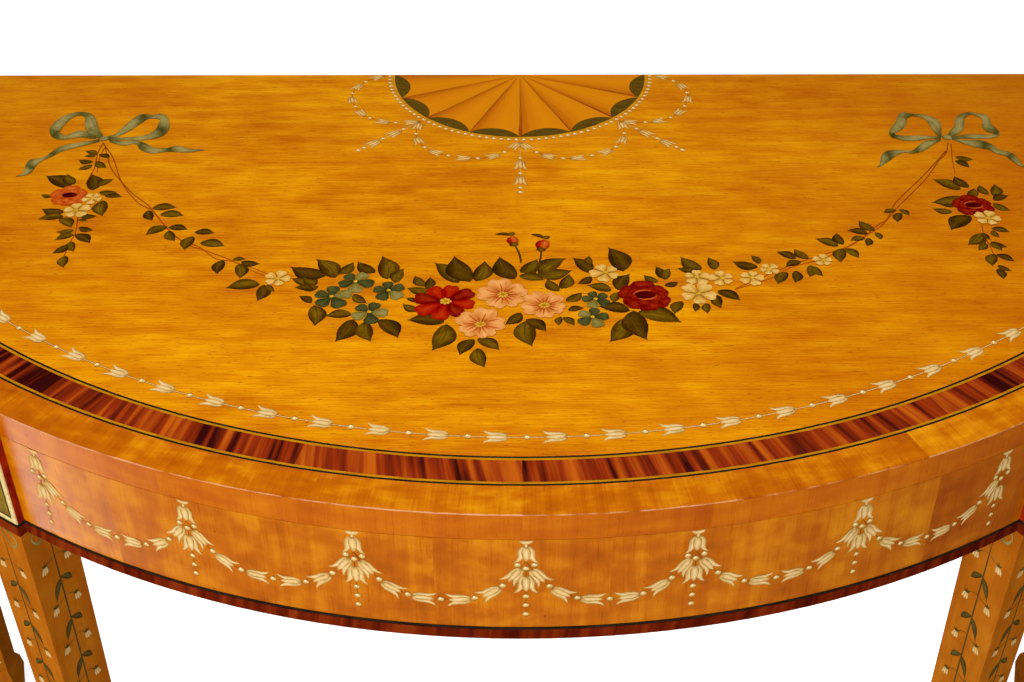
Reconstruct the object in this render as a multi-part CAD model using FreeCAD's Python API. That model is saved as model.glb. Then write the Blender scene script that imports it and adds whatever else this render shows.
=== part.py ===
import FreeCAD
import Part
import math
import os

V = FreeCAD.Vector
up = V(0, 0, 1)
quarter_turn = 90.0
half_turn = 180.0

# Whole table, in millimetres: X runs along the back, the bowed front faces -Y, Z is up from the floor
top_width = 1276.0
top_depth = 550.0
table_height = 840.0
top_thickness = 20.5

# Veneers and working gaps
veneer_thickness = 1.0
glue_line = 0.05
joint_clearance = 0.15
shadow_gap = 0.4
overrun = 3.0

# Legs: square, with a leg block at the frieze, a tapered shaft and a spade foot
leg_size = 42.0
leg_block_projection = 6.0
front_leg_angle = 33.3
ankle_size = 30.0
spade_neck_height = 74.0
spade_shoulder_height = 66.0
spade_shoulder_width = 37.0
spade_widest_height = 50.0
spade_width = 40.0
spade_base_size = 27.0

# Frieze, with a bead and a base moulding under it
frieze_height = 77.0
bead_height = 2.0
bead_projection = 0.6
base_moulding_height = 8.2
base_moulding_depth = 6.0
base_moulding_projection = 0.9

# Bricked rails behind the frieze
rail_thickness = 28.0
course_names = ("lower", "middle", "upper")
tenoned_course = "middle"
front_brick_count = 4
side_brick_count = 3
brick_stagger_shares = {"lower": 0.0, "middle": 0.5, "upper": 0.0}
rail_tenon_length = 17.0
rail_tenon_thickness = 10.0

# Back rail, bearer and glue blocks
back_rail_thickness = 22.0
back_tenon_thickness = 8.0
back_tenon_length = 18.0
back_tenon_shoulder = 14.0
bearer_width = 60.0
bearer_thickness = 28.0
dovetail_length = 14.0
dovetail_depth = 18.0
dovetail_root_width = 32.0
dovetail_tip_width = 42.0
block_length = 56.0
block_size = 20.0
front_block_shares = (0.12, 0.33, 0.67, 0.88)
side_block_shares = (0.18, 0.5, 0.82)
back_block_shares = (-0.75, -0.4, 0.4, 0.75)

# Boards under the top's veneers
board_count = 4
tongue_thickness = 6.5
tongue_length = 7.0

# Bands round the top, from the edge inwards
border_width = 24.5
border_arris_round = 0.7
black_string_width = 1.6
boxwood_string_width = 1.8
rosewood_width = 19.2
border_leaf_count = 16
rosewood_leaf_count = 14
edge_leaf_count = 18
front_leaf_count = 7
side_leaf_count = 5

# Fan patera, half a circle on the back edge
fan_radius = 110.0
fan_ring_width = 2.4
fan_blade_count = 8
fan_scallop_depth = 12.5

# Inlay on the leg blocks
block_string_width = 4.0
block_line_width = 1.4

# Places worked out from the sizes above
half_width = top_width / 2
arc_radius = (half_width**2 + top_depth**2) / (2 * top_depth)
back_y = (top_depth + base_moulding_projection) / 2
arc_centre = V(0, back_y - top_depth + arc_radius, 0)
arc_centre_behind = arc_radius - top_depth
veneer_low = table_height - veneer_thickness
top_underside = table_height - top_thickness
frieze_low = top_underside - frieze_height
bead_low = frieze_low - bead_height
apron_low = bead_low - base_moulding_height
frieze_high = top_underside - shadow_gap
core_radius = arc_radius - veneer_thickness - glue_line
rail_inner_radius = core_radius - rail_thickness
course_height = (top_underside - apron_low) / len(course_names)
back_rail_front = back_y - back_rail_thickness
outer_black_radius = arc_radius - border_width
outer_boxwood_radius = outer_black_radius - black_string_width
rosewood_radius = outer_boxwood_radius - boxwood_string_width
inner_boxwood_radius = rosewood_radius - rosewood_width
inner_black_radius = inner_boxwood_radius - boxwood_string_width
field_radius = inner_black_radius - black_string_width
fan_centre = V(0, back_y, 0)
brick_counts = {"front": front_brick_count, "left": side_brick_count, "right": side_brick_count}
frieze_leaf_counts = {"front": front_leaf_count, "left": side_leaf_count, "right": side_leaf_count}


def outward(angle):
    """The level direction at an angle from the front, turning towards +X."""
    return V(math.sin(math.radians(angle)), -math.cos(math.radians(angle)), 0)


def angle_of(point):
    """The angle from the front of a point, seen from the centre of the bow."""
    away = point - arc_centre
    return math.degrees(math.atan2(away.x, -away.y))


class Leg:
    """A leg's place in plan: its axis, the way its outer face looks, and the side that is the table's back."""

    def __init__(self, name, angle, back_side):
        self.name = name
        self.angle = angle
        self.back_side = back_side
        self.out = outward(angle)
        self.along = outward(angle + quarter_turn)
        reach = arc_radius + leg_block_projection - leg_size / 2
        self.axis = arc_centre + self.out * reach
        if back_side:
            half_span = half_width + leg_block_projection - leg_size / 2
            self.axis = V(back_side * half_span, back_y - leg_size / 2, 0)
        self.bow_angle = angle_of(self.axis)

    def box(self, out_low, out_high, along_low, along_high, low, high):
        """A box set square to the leg, measured from the leg's axis."""
        return turned_box(self.axis, self.angle, out_low, out_high, along_low, along_high, low, high)

    def bow_depth(self, radius, side):
        """How far out from the axis a circle round the bow's centre crosses the leg's side face."""
        start = self.axis + self.along * (side * leg_size / 2) - arc_centre
        return math.sqrt(radius**2 - start.dot(start) + start.dot(self.out)**2) - start.dot(self.out)

    def side_limit(self, side, extra):
        """A side face moved out by an extra amount, except at the table's flat back."""
        return side * (leg_size / 2 + (0 if side == self.back_side else extra))


def turned_box(place, angle, out_low, out_high, along_low, along_high, low, high):
    size = (out_high - out_low, along_high - along_low, high - low)
    box = Part.makeBox(*size, V(out_low, along_low, low))
    box.rotate(V(0, 0, 0), up, angle - quarter_turn)
    box.translate(place)
    return box


def prism(edges, low, high):
    """A closed run of edges drawn at the floor, raised to stand between two heights."""
    solid = Part.Face(Part.Wire(edges)).extrude(up * (high - low))
    solid.translate(up * low)
    return solid


def straight(points):
    """Straight edges through the points."""
    return [Part.LineSegment(a, b).toShape() for a, b in zip(points, points[1:])]


def bow_segment(radius, low, high):
    """The space inside a circle round the bow's centre, in front of the back edge."""
    reach = math.sqrt(radius**2 - arc_centre_behind**2)
    left, right = V(-reach, back_y, 0), V(reach, back_y, 0)
    bow = Part.Arc(left, arc_centre + outward(0) * radius, right).toShape()
    return prism([bow, *straight([right, left])], low, high)


def bow_ring(inner, outer, low, high):
    return bow_segment(outer, low, high).cut(bow_segment(inner, low, high))


def wedge(start, end, low, high):
    """A wedge from the bow's centre that holds everything between two angles."""
    middle = (start + end) / 2
    reach = (top_width + top_depth) / math.cos(math.radians((end - start) / 2))
    corners = [arc_centre + outward(angle) * reach for angle in (start, middle, end)]
    return prism(straight([arc_centre, *corners, arc_centre]), low, high)


def leaves(band, count, start, end, low, high):
    """Cut a band into equal leaves that butt along lines from the bow's centre."""
    step = (end - start) / count
    cuts = [wedge(start + i * step, start + (i + 1) * step, low, high) for i in range(count)]
    return [solid for cutter in cuts for solid in band.common(cutter).Solids]


def plan_block(inset, low, high):
    """The top's outline, broken forward over the leg blocks, drawn in by an inset."""
    block = bow_segment(arc_radius - inset, low, high)
    for leg in legs:
        over_leg = leg.box(
            -leg_size / 2, leg_size / 2 - inset, leg.side_limit(-1, -inset), leg.side_limit(1, -inset), low, high
        )
        block = block.fuse(over_leg)
    return block.removeSplitter()


legs = [
    Leg("left_rear", -quarter_turn, -1),
    Leg("left_front", -front_leg_angle, 0),
    Leg("right_front", front_leg_angle, 0),
    Leg("right_rear", quarter_turn, 1),
]
panels = dict(zip(("left", "front", "right"), zip(legs, legs[1:])))
band_end = legs[-1].bow_angle + quarter_turn / fan_blade_count


def clear_of_legs(panel, solid):
    """Keep what lies between the side faces of the two legs that bound a panel."""
    first, second = panels[panel]
    low, high = solid.BoundBox.ZMin - overrun, solid.BoundBox.ZMax + overrun
    solid = solid.common(wedge(first.bow_angle, second.bow_angle, low, high))
    for leg in (first, second):
        slab = leg.box(-2 * leg_size, 2 * leg_size, -leg_size / 2, leg_size / 2, low, high)
        solid = solid.cut(slab)
    return solid


def panel_ring(panel, inner, outer, low, high):
    return clear_of_legs(panel, bow_ring(inner, outer, low, high))


def rail_tenon(leg, side, gap):
    """The tenon of a curved rail's middle course, or with a gap the mortise that takes it."""
    middle = leg.bow_depth(core_radius - rail_thickness / 2, side)
    half = rail_tenon_thickness / 2 + gap
    low = apron_low + course_names.index(tenoned_course) * course_height
    root, tip = side * (leg_size / 2 + overrun), side * (leg_size / 2 - rail_tenon_length - gap)
    return leg.box(middle - half, middle + half, min(root, tip), max(root, tip), low - gap, low + course_height + gap)


def back_rail_tenon(side, gap):
    """A tenon of the back rail, or with a gap the mortise that takes it."""
    inner_face = half_width + leg_block_projection - leg_size
    root, tip = side * (inner_face - overrun), side * (inner_face + back_tenon_length + gap)
    middle_y = back_y - back_rail_thickness / 2
    half = back_tenon_thickness / 2 + gap
    low, high = apron_low + back_tenon_shoulder - gap, top_underside - back_tenon_shoulder + gap
    return Part.makeBox(abs(tip - root), 2 * half, high - low, V(min(root, tip), middle_y - half, low))


def dovetail(root_y, direction, gap):
    """A bearer's dovetail pointing along Y, or with a gap the socket that takes it."""
    tip_y = root_y + direction * (dovetail_length + gap)
    inside_y = root_y - direction * dovetail_length
    root, tip = dovetail_root_width / 2 + gap, dovetail_tip_width / 2 + gap
    corners = [
        V(-root, inside_y, 0), V(-root, root_y, 0), V(-tip, tip_y, 0),
        V(tip, tip_y, 0), V(root, root_y, 0), V(root, inside_y, 0),
    ]
    return prism(straight([*corners, corners[0]]), top_underside - dovetail_depth - gap, top_underside)


front_root_y = arc_centre.y - rail_inner_radius
front_dovetail = (front_root_y, -1)
back_dovetail = (back_rail_front, 1)


def rail_course(panel, course):
    """One course of bricks of a curved rail, with the joints of neighbouring courses staggered."""
    first, second = panels[panel]
    low = apron_low + course_names.index(course) * course_height
    high = low + course_height
    ring = panel_ring(panel, rail_inner_radius, core_radius, low, high)
    rebate_radius = arc_radius - base_moulding_depth - glue_line
    rebate = bow_ring(rebate_radius, arc_radius, apron_low - overrun, bead_low)
    ring = ring.cut(rebate)
    if course == tenoned_course:
        ring = ring.fuse([rail_tenon(first, 1, 0), rail_tenon(second, -1, 0)])
    if panel == "front":
        ring = ring.cut(dovetail(*front_dovetail, joint_clearance))
    step = (second.bow_angle - first.bow_angle) / brick_counts[panel]
    start = first.bow_angle - brick_stagger_shares[course] * step
    bricks = leaves(ring.removeSplitter(), brick_counts[panel] + 1, start,
                    start + (brick_counts[panel] + 1) * step, low, high)
    return Part.makeCompound(bricks)


def tapered(size_low, size_high, low, high):
    """A square section that changes size between two heights, with flat sides."""
    bottom, top = size_low / 2, size_high / 2
    solid = Part.makeWedge(-bottom, low, -bottom, -top, -top, bottom, high, bottom, top, top)
    solid.rotate(V(0, 0, 0), V(1, 0, 0), quarter_turn)
    return solid


def leg_solid(leg):
    """A leg: spade foot, tapered shaft and leg block, mortised and stepped for its veneers."""
    foot = tapered(spade_base_size, spade_width, 0, spade_widest_height)
    shoulder = tapered(spade_width, spade_shoulder_width, spade_widest_height, spade_shoulder_height)
    neck = tapered(spade_shoulder_width, ankle_size, spade_shoulder_height, spade_neck_height)
    shaft = tapered(ankle_size, leg_size, spade_neck_height, apron_low)
    block = tapered(leg_size, leg_size, apron_low, top_underside)
    solid = foot.fuse([shoulder, neck, shaft, block])
    solid.rotate(V(0, 0, 0), up, leg.angle)
    solid.translate(leg.axis)
    face = leg_size / 2
    step = face - veneer_thickness
    solid = solid.cut(leg.box(step, face + overrun, -face - overrun, face + overrun, frieze_low, top_underside + overrun))
    for side in (-1, 1):
        if side == leg.back_side:
            solid = solid.cut(back_rail_tenon(side, joint_clearance))
            continue
        solid = solid.cut(rail_tenon(leg, side, joint_clearance))
        deep, proud = side * step, side * (face + overrun)
        depth = leg.bow_depth(arc_radius, side)
        solid = solid.cut(leg.box(depth, face, min(deep, proud), max(deep, proud), frieze_low, top_underside + overrun))
    return solid.removeSplitter()


def block_panel(leg, inset):
    """The leg block's outer face as a thin panel, drawn in all round by an inset."""
    half = leg_size / 2
    return leg.box(half - veneer_thickness, half, inset - half, half - inset, frieze_low + inset, frieze_high - inset)


def block_inlay(leg):
    """The inlay of a leg block's outer face: a cream string, a black line and the tablet inside them."""
    line_inset = block_string_width + block_line_width
    return {
        "cream_string": block_panel(leg, 0).cut(block_panel(leg, block_string_width)),
        "black_line": block_panel(leg, block_string_width).cut(block_panel(leg, line_inset)),
        "tablet": block_panel(leg, line_inset),
    }


def block_returns(leg):
    """The veneers on the sides of a leg block, from its inlaid face back to the frieze."""
    half = leg_size / 2
    strips = []
    for side in (-1, 1):
        if side == leg.back_side:
            continue
        inner, outer = side * (half - veneer_thickness), side * half
        strips.append(leg.box(
            leg.bow_depth(arc_radius, side), half - veneer_thickness, min(inner, outer), max(inner, outer),
            frieze_low, frieze_high,
        ))
    return Part.makeCompound(strips)


def block_collar(leg, low, high, projection):
    """A bead or moulding carried round a leg block."""
    half = leg_size / 2
    collar = leg.box(0, half + projection, leg.side_limit(-1, projection), leg.side_limit(1, projection), low, high)
    collar = collar.cut(leg.box(-half, half, -half, half, low, high))
    return collar.cut(bow_segment(arc_radius + projection + glue_line, low, high))


def fan_point(angle, radius):
    """A point of the fan, its angle counted from the left end of the back edge."""
    turn = math.radians(angle)
    return fan_centre + V(-math.cos(turn), -math.sin(turn), 0) * radius


def half_disc(radius, low, high):
    bow = Part.Arc(fan_point(0, radius), fan_point(quarter_turn, radius), fan_point(half_turn, radius)).toShape()
    return prism([bow, *straight([fan_point(half_turn, radius), fan_point(0, radius)])], low, high)


def fan_pieces():
    """The fan's blades, each with a rounded notch at the rim, and the scallops let into the notches."""
    blades, scallops = [], []
    step = half_turn / fan_blade_count
    for i in range(fan_blade_count):
        start, middle, end = i * step, (i + 0.5) * step, (i + 1) * step
        first, last = fan_point(start, fan_radius), fan_point(end, fan_radius)
        notch = Part.Arc(first, fan_point(middle, fan_radius - fan_scallop_depth), last).toShape()
        rim = Part.Arc(first, fan_point(middle, fan_radius), last).toShape()
        blades.append(prism([notch, *straight([last, fan_centre, first])], veneer_low, table_height))
        scallops.append(prism([notch, rim], veneer_low, table_height))
    return Part.makeCompound(blades), Part.makeCompound(scallops)


def border_band():
    """The outermost band of the top, rounded over at the arris."""
    band = plan_block(0, veneer_low, table_height).cut(bow_segment(outer_black_radius, veneer_low, table_height))
    inside = bow_segment(arc_radius - veneer_thickness, veneer_low, table_height)

    def is_arris(edge):
        middle = edge.CenterOfMass
        level = abs(middle.z - table_height) < glue_line
        return level and middle.y < back_y - glue_line and not inside.isInside(middle, glue_line, True)

    band = band.makeFillet(border_arris_round, [edge for edge in band.Edges if is_arris(edge)])
    return leaves(band, border_leaf_count, -band_end, band_end, veneer_low, table_height)


def top_boards():
    """The boards under the veneers, each with a tongue on its front edge and a groove in its back edge."""
    high = veneer_low
    whole = plan_block(veneer_thickness + glue_line, top_underside, high)
    spread = top_width
    board_width = top_depth / board_count
    tongue_low = (top_underside + high - tongue_thickness) / 2

    def strip(front, back, low, top):
        return Part.makeBox(2 * spread, back - front, top - low, V(-spread, front, low))

    boards = []
    for i in range(board_count):
        back = back_y - i * board_width
        front = back - board_width
        shape = strip(front, back, top_underside, high)
        if i < board_count - 1:
            tongue = strip(front - tongue_length, front + overrun, tongue_low, tongue_low + tongue_thickness)
            shape = shape.fuse(tongue)
        if i > 0:
            groove = strip(
                back - tongue_length - joint_clearance, back + overrun,
                tongue_low - joint_clearance, tongue_low + tongue_thickness + joint_clearance,
            )
            shape = shape.cut(groove)
        boards.append(whole.common(shape).removeSplitter())
    return boards


def bearer():
    """The bearer from the front rail to the back rail, its front shoulder scribed to the curved rail."""
    low = top_underside - bearer_thickness
    corner = V(-bearer_width / 2, front_root_y, low)
    body = Part.makeBox(bearer_width, back_rail_front - front_root_y, bearer_thickness, corner)
    body = body.common(bow_segment(rail_inner_radius - glue_line, low, top_underside))
    body = body.fuse([dovetail(*front_dovetail, 0), dovetail(*back_dovetail, 0)])
    return body.removeSplitter()


def back_rail():
    inner_face = half_width + leg_block_projection - leg_size
    corner = V(-inner_face, back_rail_front, apron_low)
    rail = Part.makeBox(2 * inner_face, back_rail_thickness, top_underside - apron_low, corner)
    rail = rail.fuse([back_rail_tenon(-1, 0), back_rail_tenon(1, 0)])
    return rail.cut(dovetail(*back_dovetail, joint_clearance)).removeSplitter()


def curved_rail_blocks(panel, shares):
    """Glue blocks in the corner of a curved rail and the top, their backs scribed to the rail."""
    first, second = panels[panel]
    low = top_underside - block_size
    inside = bow_segment(rail_inner_radius - glue_line, low, top_underside)
    blocks = []
    for share in shares:
        angle = first.bow_angle + share * (second.bow_angle - first.bow_angle)
        inner = rail_inner_radius - block_size
        block = turned_box(
            arc_centre, angle, inner, rail_inner_radius, -block_length / 2, block_length / 2, low, top_underside
        )
        blocks.append(block.common(inside))
    return Part.makeCompound(blocks)


def back_rail_blocks():
    low = top_underside - block_size
    span = half_width - leg_size
    corners = [V(share * span - block_length / 2, back_rail_front - block_size, low) for share in back_block_shares]
    return Part.makeCompound([Part.makeBox(block_length, block_size, block_size, corner) for corner in corners])


# Every piece of the table, by the name of its file
pieces = {}

for number, board in enumerate(top_boards(), 1):
    pieces[f"top_board_{number}"] = board

ring_radius = fan_radius + fan_ring_width
field = bow_segment(field_radius, veneer_low, table_height)
pieces["top_field_veneer"] = field.cut(half_disc(ring_radius, veneer_low, table_height))
ring = half_disc(ring_radius, veneer_low, table_height)
pieces["fan_ring"] = ring.cut(half_disc(fan_radius, veneer_low, table_height))
pieces["fan_blades"], pieces["fan_scallops"] = fan_pieces()

strings = {
    "outer_black_string": (outer_boxwood_radius, outer_black_radius),
    "outer_boxwood_string": (rosewood_radius, outer_boxwood_radius),
    "inner_boxwood_string": (inner_black_radius, inner_boxwood_radius),
    "inner_black_string": (field_radius, inner_black_radius),
}
for name, (inner, outer) in strings.items():
    pieces[name] = bow_ring(inner, outer, veneer_low, table_height)

rosewood = bow_ring(inner_boxwood_radius, rosewood_radius, veneer_low, table_height)
rosewood_leaves = leaves(rosewood, rosewood_leaf_count, -band_end, band_end, veneer_low, table_height)
pieces["rosewood_crossband"] = Part.makeCompound(rosewood_leaves)
pieces["border_crossband"] = Part.makeCompound(border_band())

edge = plan_block(0, top_underside, veneer_low).cut(plan_block(veneer_thickness, top_underside, veneer_low))
edge_leaves = leaves(edge, edge_leaf_count, -band_end, band_end, top_underside, veneer_low)
pieces["top_edge_banding"] = Part.makeCompound(edge_leaves)

frieze_beads = []
for panel, (first, second) in panels.items():
    for course in course_names:
        pieces[f"{panel}_rail_{course}_course"] = rail_course(panel, course)
    veneer = panel_ring(panel, arc_radius - veneer_thickness, arc_radius, frieze_low, frieze_high)
    count = frieze_leaf_counts[panel]
    veneer_leaves = leaves(veneer, count, first.bow_angle, second.bow_angle, frieze_low, frieze_high)
    pieces[f"{panel}_frieze_veneer"] = Part.makeCompound(veneer_leaves)
    bead_radii = (arc_radius - veneer_thickness, arc_radius + bead_projection)
    frieze_beads.append(panel_ring(panel, *bead_radii, bead_low, frieze_low))
    moulding_radii = (arc_radius - base_moulding_depth, arc_radius + base_moulding_projection)
    pieces[f"{panel}_base_moulding"] = panel_ring(panel, *moulding_radii, apron_low, bead_low)
pieces["frieze_beads"] = Part.makeCompound(frieze_beads)

bead_returns, moulding_returns = [], []
for leg in legs:
    pieces[f"{leg.name}_leg"] = leg_solid(leg)
    for part_name, solid in block_inlay(leg).items():
        pieces[f"{leg.name}_block_{part_name}"] = solid
    pieces[f"{leg.name}_block_returns"] = block_returns(leg)
    bead_returns.append(block_collar(leg, bead_low, frieze_low, bead_projection))
    moulding_returns.append(block_collar(leg, apron_low, bead_low, base_moulding_projection))
pieces["leg_block_beads"] = Part.makeCompound(bead_returns)
pieces["leg_block_mouldings"] = Part.makeCompound(moulding_returns)

pieces["back_rail"] = back_rail()
pieces["centre_bearer"] = bearer()
pieces["front_glue_blocks"] = curved_rail_blocks("front", front_block_shares)
side_blocks = [curved_rail_blocks(panel, side_block_shares) for panel in ("left", "right")]
pieces["side_glue_blocks"] = Part.makeCompound(side_blocks)
pieces["back_glue_blocks"] = back_rail_blocks()

os.makedirs("parts", exist_ok=True)
for name, shape in pieces.items():
    shape.exportStep(f"parts/{name}.step")
    valid = all(solid.isValid() for solid in shape.Solids)
    print(name, len(shape.Solids), "solids", "valid" if valid else "NOT VALID", round(shape.Volume))
print(len(pieces), "pieces")
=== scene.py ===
import math
from functools import partial
import bmesh
import bpy
from mathutils import Matrix, Vector


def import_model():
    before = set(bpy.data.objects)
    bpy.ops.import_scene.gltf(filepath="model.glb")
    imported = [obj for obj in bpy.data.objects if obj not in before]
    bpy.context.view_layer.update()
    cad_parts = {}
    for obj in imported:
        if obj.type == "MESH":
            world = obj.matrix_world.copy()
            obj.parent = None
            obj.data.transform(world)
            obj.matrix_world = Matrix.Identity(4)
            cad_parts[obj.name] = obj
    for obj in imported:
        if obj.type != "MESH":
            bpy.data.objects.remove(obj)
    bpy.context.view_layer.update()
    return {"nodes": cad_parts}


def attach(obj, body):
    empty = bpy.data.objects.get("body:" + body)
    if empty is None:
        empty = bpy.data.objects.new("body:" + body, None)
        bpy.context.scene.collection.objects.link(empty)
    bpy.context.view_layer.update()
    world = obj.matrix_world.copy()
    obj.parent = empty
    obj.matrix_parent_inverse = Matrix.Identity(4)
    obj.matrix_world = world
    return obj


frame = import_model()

MM = 0.001


def node_reach(name, axis, pick):
    """The least or greatest place of a node of the frame along an axis, in millimetres."""
    return round(pick(corner[axis] for corner in frame["nodes"][name].bound_box) / MM, 2)


# Sizes of the table in millimetres, taken from the frame
TOP_Z = node_reach("top_field_veneer", 2, max)
BACK_Y = node_reach("top_field_veneer", 1, max)
FRONT_Y = node_reach("border_crossband", 1, min)
FRIEZE_TOP = node_reach("front_frieze_veneer", 2, max)
APRON_LOW = node_reach("front_base_moulding", 2, min)
FAN_RADIUS = node_reach("fan_blades", 0, max)
REAR_LEG_END = node_reach("right_rear_leg", 0, max)
LEG_SIZE = REAR_LEG_END - node_reach("right_rear_leg", 0, min)
# Sizes that the part's source names too
LEG_BLOCK_PROJECTION = 6.0
FRONT_LEG_ANGLE = 33.3
ANKLE_SIZE = 30.0
ANKLE_Z = 74.0
FAN_BLADES = 8
# The bow is an arc through the ends of the back edge and the middle of the front edge
HALF_WIDTH = REAR_LEG_END - LEG_BLOCK_PROJECTION
TOP_DEPTH = BACK_Y - FRONT_Y
BOW_RADIUS = (HALF_WIDTH**2 + TOP_DEPTH**2) / (2 * TOP_DEPTH)
BOW_CENTRE_Y = FRONT_Y + BOW_RADIUS
# Leaves of veneer round the bow are counted between this angle on the left and on the right
BAND_END = math.radians(90.7)

# The photograph's camera, found from the fan, the bands and the bow
FOCAL_PIXELS = 1449.29
IMAGE_WIDTH = 1024
IMAGE_HEIGHT = 682
CAMERA_PLACE = Vector((-3.86, BACK_Y - 1156.25, TOP_Z + 597.89))
CAMERA_PITCH = 37.756
CAMERA_ROLL = -0.173
CAMERA_YAW = -0.183
camera_turn = Matrix.Rotation(math.radians(-CAMERA_YAW), 3, "Z")
camera_turn @= Matrix.Rotation(math.radians(90 - CAMERA_PITCH), 3, "X")
camera_turn @= Matrix.Rotation(math.radians(CAMERA_ROLL), 3, "Z")

# The paint lies this far off the wood, and each coat over another this much more
PAINT_LIFT = 0.10
COAT_LIFT = 0.03
# The relief of grain and brush strokes is this deep
RELIEF = 0.02
# Leaves of veneer lie up to this far apart in the pattern of their wood
LEAF_SHIFT = 400.0
# Strokes nearer than this to the back edge of the top are pressed together so that they end at it
BACK_MARGIN = 0.5


def linear(code):
    """An sRGB hex colour as linear red, green, blue and alpha."""
    parts = [int(code[i:i + 2], 16) / 255 for i in (1, 3, 5)]
    return (*[p / 12.92 if p <= 0.04045 else ((p + 0.055) / 1.055) ** 2.4 for p in parts], 1.0)


def add_node(tree, kind, inputs=(), output=0, stops=(), **settings):
    """Add a node with settings, inputs and colour stops, and give one output, or all of them for None."""
    made = tree.nodes.new("ShaderNode" + kind)
    for key, value in settings.items():
        setattr(made, key, value)
    for key, value in inputs.items() if isinstance(inputs, dict) else enumerate(inputs):
        if isinstance(value, bpy.types.NodeSocket):
            tree.links.new(value, made.inputs[key])
        else:
            made.inputs[key].default_value = value
    for i, (place, colour) in enumerate(stops):
        elements = made.color_ramp.elements
        element = elements[i] if i < len(elements) else elements.new(place)
        element.position = place
        element.color = linear(colour)
    return made.outputs if output is None else made.outputs[output]


def new_material(name):
    """An empty material, and the function that adds a node to it."""
    material = bpy.data.materials.new(name)
    material.use_nodes = True
    material.node_tree.nodes.clear()
    return material, partial(add_node, material.node_tree)


def dress(material, node, colour, roughness, height, shine):
    """Join a colour, a roughness and a shallow relief to the material's surface."""
    relief = node("Bump", {"Height": height, "Distance": RELIEF * MM})
    inputs = {"Base Color": colour, "Roughness": roughness, "Normal": relief, "Specular IOR Level": shine}
    node("OutputMaterial", (node("BsdfPrincipled", inputs),), None)
    return material


def total(node, *terms):
    """The sum of sockets, each times its share."""
    result = 0.0
    for socket, share in terms:
        result = node("Math", (socket, share, result), operation="MULTIPLY_ADD")
    return result


def blots(node, places, sizes, detail=2.0):
    """Noise whose blots have the given sizes in millimetres along each of the places."""
    scaled = [node("Math", pair, operation="DIVIDE") for pair in zip(places, sizes)]
    return node("TexNoise", {"Vector": node("CombineXYZ", scaled), "Scale": 1.0, "Detail": detail})


def surface_place(node):
    """The surface point's x, y and z in millimetres."""
    point = node("TexCoord", output="Object")
    scaled = node("VectorMath", (point, (1 / MM,) * 3), operation="MULTIPLY")
    return node("SeparateXYZ", (scaled,), None)


def polar_place(node, centre_y):
    """Angle from straight ahead, radius and z of the surface point, round a place on the middle line."""
    x, y, z = surface_place(node)
    depth = node("Math", (centre_y, y), operation="SUBTRACT")
    squares = [node("Math", (way, way), operation="MULTIPLY") for way in (x, depth)]
    square = node("Math", squares, operation="ADD")
    return node("Math", (x, depth), operation="ARCTAN2"), node("Math", (square,), operation="SQRT"), z


def grain_places(node, direction, leaf_count):
    """The places along and across the grain, and a third number that differs between leaves of veneer.

    Round the bow the leaves are cut to equal angles, and that number is a random one for each of them.
    """
    if direction == "left_right":
        x, y, z = surface_place(node)
        return x, y, z
    if direction == "upright":
        x, y, z = surface_place(node)
        return z, x, y
    angle, radius, z = polar_place(node, BOW_CENTRE_Y)
    arc = node("Math", (angle, BOW_RADIUS), operation="MULTIPLY")
    turned_by = node("Math", (angle, BAND_END), operation="ADD")
    number = node("Math", (turned_by, 2 * BAND_END / leaf_count), operation="DIVIDE")
    number = node("Math", (number,), operation="FLOOR")
    chance = node("TexWhiteNoise", {"W": number}, noise_dimensions="1D")
    leaf = node("Math", (chance, LEAF_SHIFT), operation="MULTIPLY")
    return (radius if direction == "radial" else z), arc, leaf


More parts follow.
